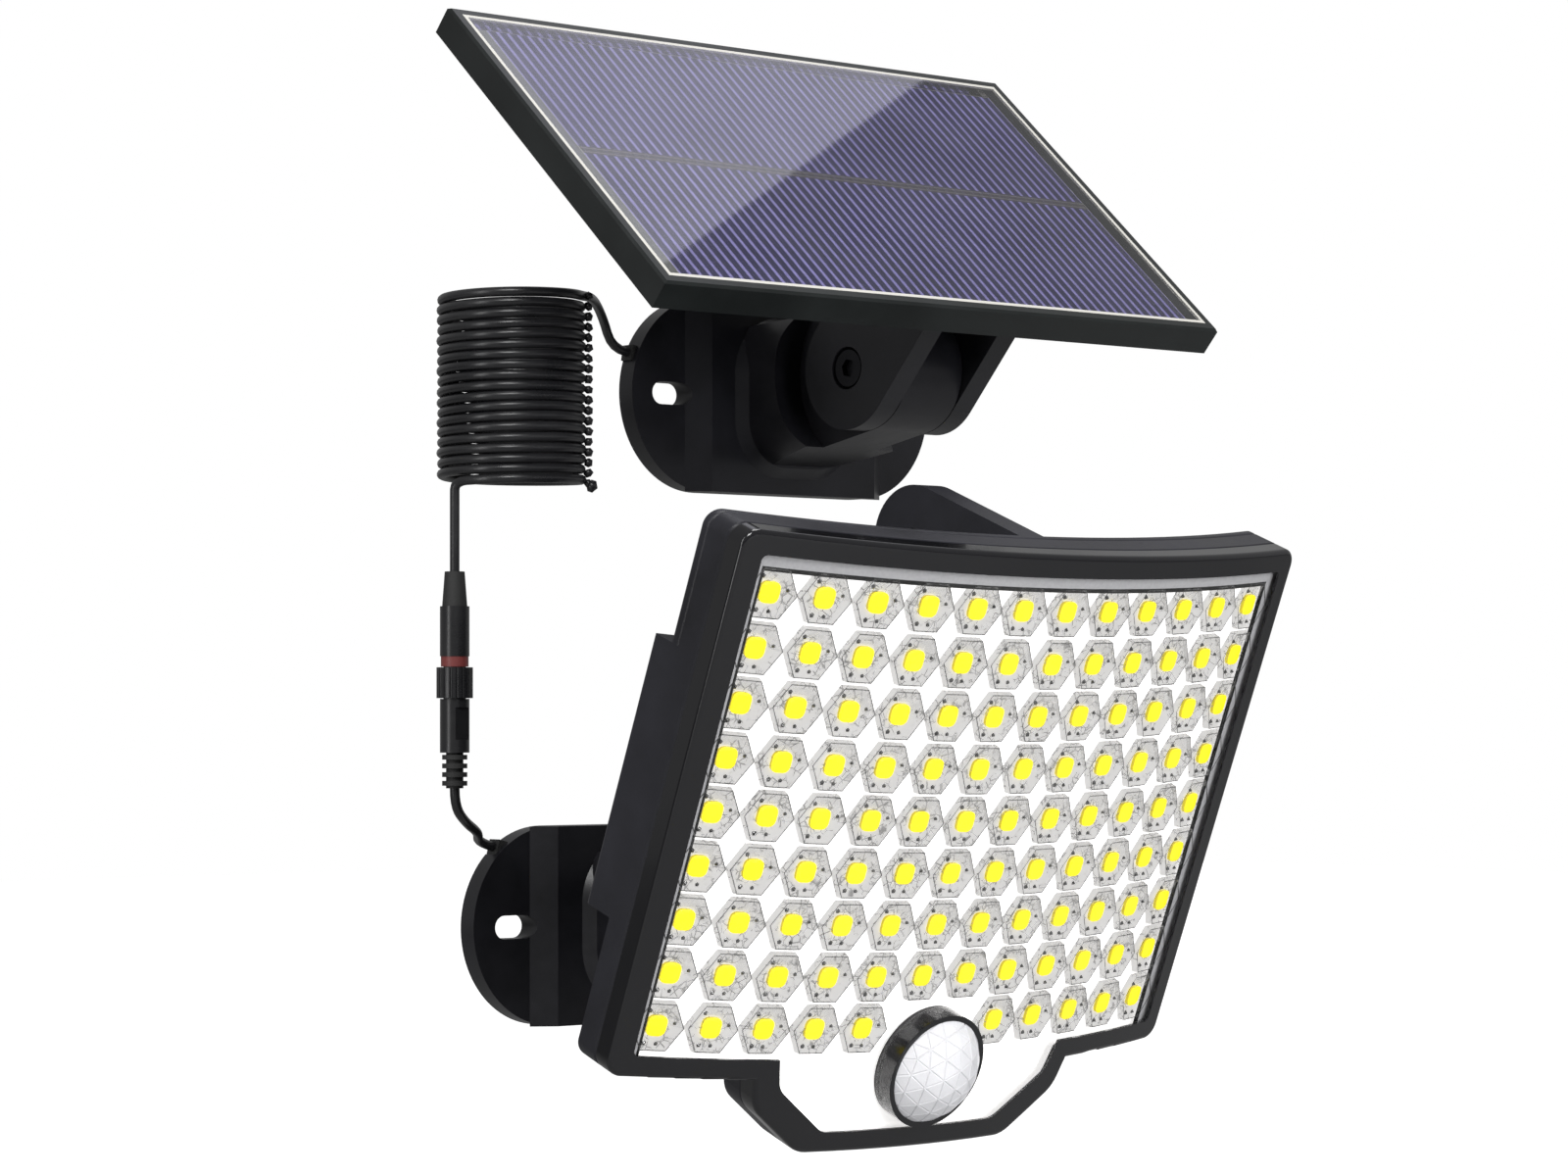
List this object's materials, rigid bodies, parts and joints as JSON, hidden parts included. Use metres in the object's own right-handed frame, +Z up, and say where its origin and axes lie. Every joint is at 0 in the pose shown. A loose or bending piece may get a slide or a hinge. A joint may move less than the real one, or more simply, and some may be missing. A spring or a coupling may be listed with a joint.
{
  "type": "solar flood light",
  "caption": "Wall-mounted LED flood light with a motion sensor, joined by a coiled cable to a tilting solar panel; lamp and panel each tilt on a clevis bracket.",
  "frame": {"origin": "middle of the lamp bracket's two wall slots, on the wall plane", "axes": "+Z up, +X to the right along the wall as seen from behind the viewer, -Y straight out of the wall"},
  "size_m": [0.194, 0.1531, 0.2617],
  "materials": {
    "bracket_plastic": "satin",
    "seal_rubber": "matte",
    "red_seal": "satin",
    "panel_frame_plastic": "satin",
    "panel_glass": "polished",
    "solar_cell": "glossy with fine light lines",
    "housing_plastic": "satin",
    "gloss_black": "polished",
    "clear_plastic": "polished",
    "lens_plastic": "polished",
    "white_board": "white solder mask",
    "led_phosphor": "phosphor yellow",
    "pir_white": "translucent",
    "sensor_can": "satin",
    "green_board": "solder mask",
    "battery_wrap": "shrink wrap",
    "foam": "foam",
    "cord_jacket": "satin PVC",
    "connector_plastic": "satin",
    "steel": "zinc plated"
  },
  "bodies": {
    "root": {"cable_coil": "cord_jacket", "coil_drop_lead": "cord_jacket", "coil_tie": "cord_jacket", "connector_plug": "connector_plastic", "connector_seal": "red_seal", "connector_socket": "connector_plastic", "lamp_cable_grommet": "seal_rubber", "lamp_lead": "cord_jacket", "lamp_wall_bracket": "bracket_plastic", "lower_strain_relief": "seal_rubber", "panel_cable_grommet": "seal_rubber", "panel_lead": "cord_jacket", "panel_wall_bracket": "bracket_plastic", "upper_strain_relief": "seal_rubber"},
    "panel": {"panel_yoke": "bracket_plastic", "panel_yoke_screws": "steel", "panel_hinge_bolt": "steel", "panel_hinge_nut": "steel", "panel_hinge_washer": "steel", "panel_frame": "panel_frame_plastic", "panel_glass": "panel_glass", "solar_cells": "solar_cell", "junction_box": "housing_plastic", "junction_box_lid": "housing_plastic"},
    "lamp": {"lamp_yoke": "bracket_plastic", "lamp_yoke_screws": "steel", "lamp_hinge_bolt": "steel", "lamp_hinge_nut": "steel", "lamp_hinge_washer": "steel", "front_housing": "housing_plastic", "bezel": "gloss_black", "clear_cover": "clear_plastic", "lens_array": "lens_plastic", "led_board": "white_board", "leds": "led_phosphor", "cover_gasket": "seal_rubber", "pir_dome": "pir_white", "pir_ring": "gloss_black", "pir_sensor": "sensor_can", "control_board": "green_board", "battery_pack": "battery_wrap", "battery_strap": "foam", "rear_cover": "housing_plastic", "rear_gasket": "seal_rubber", "rear_cover_screws": "steel", "tact_switch": "sensor_can"},
    "mode_button": {"mode_button": "seal_rubber"},
    "coupling_nut": {"coupling_nut": "connector_plastic"}
  },
  "joints": [
    {"name": "panel_tilt", "type": "hinge", "parent": "root", "child": "panel", "pos_m": [0.049, -0.045, 0.135], "axis": [1, 0, 0], "range_deg": [-10, 20]},
    {"name": "lamp_tilt", "type": "hinge", "parent": "root", "child": "lamp", "pos_m": [0, -0.045, 0.005], "axis": [1, 0, 0], "range_deg": [-21.5, 30]},
    {"name": "mode_press", "type": "slide", "parent": "lamp", "child": "mode_button", "axis": [-0.1529, -0.9195, -0.3622], "range_m": [0, 0.0008], "stiffness_N_per_m": 800},
    {"name": "nut_turn", "type": "hinge", "parent": "root", "child": "coupling_nut", "pos_m": [-0.07105, -0.025, 0.058], "axis": [0, 0, 1], "range_deg": [0, 330]}
  ]
}
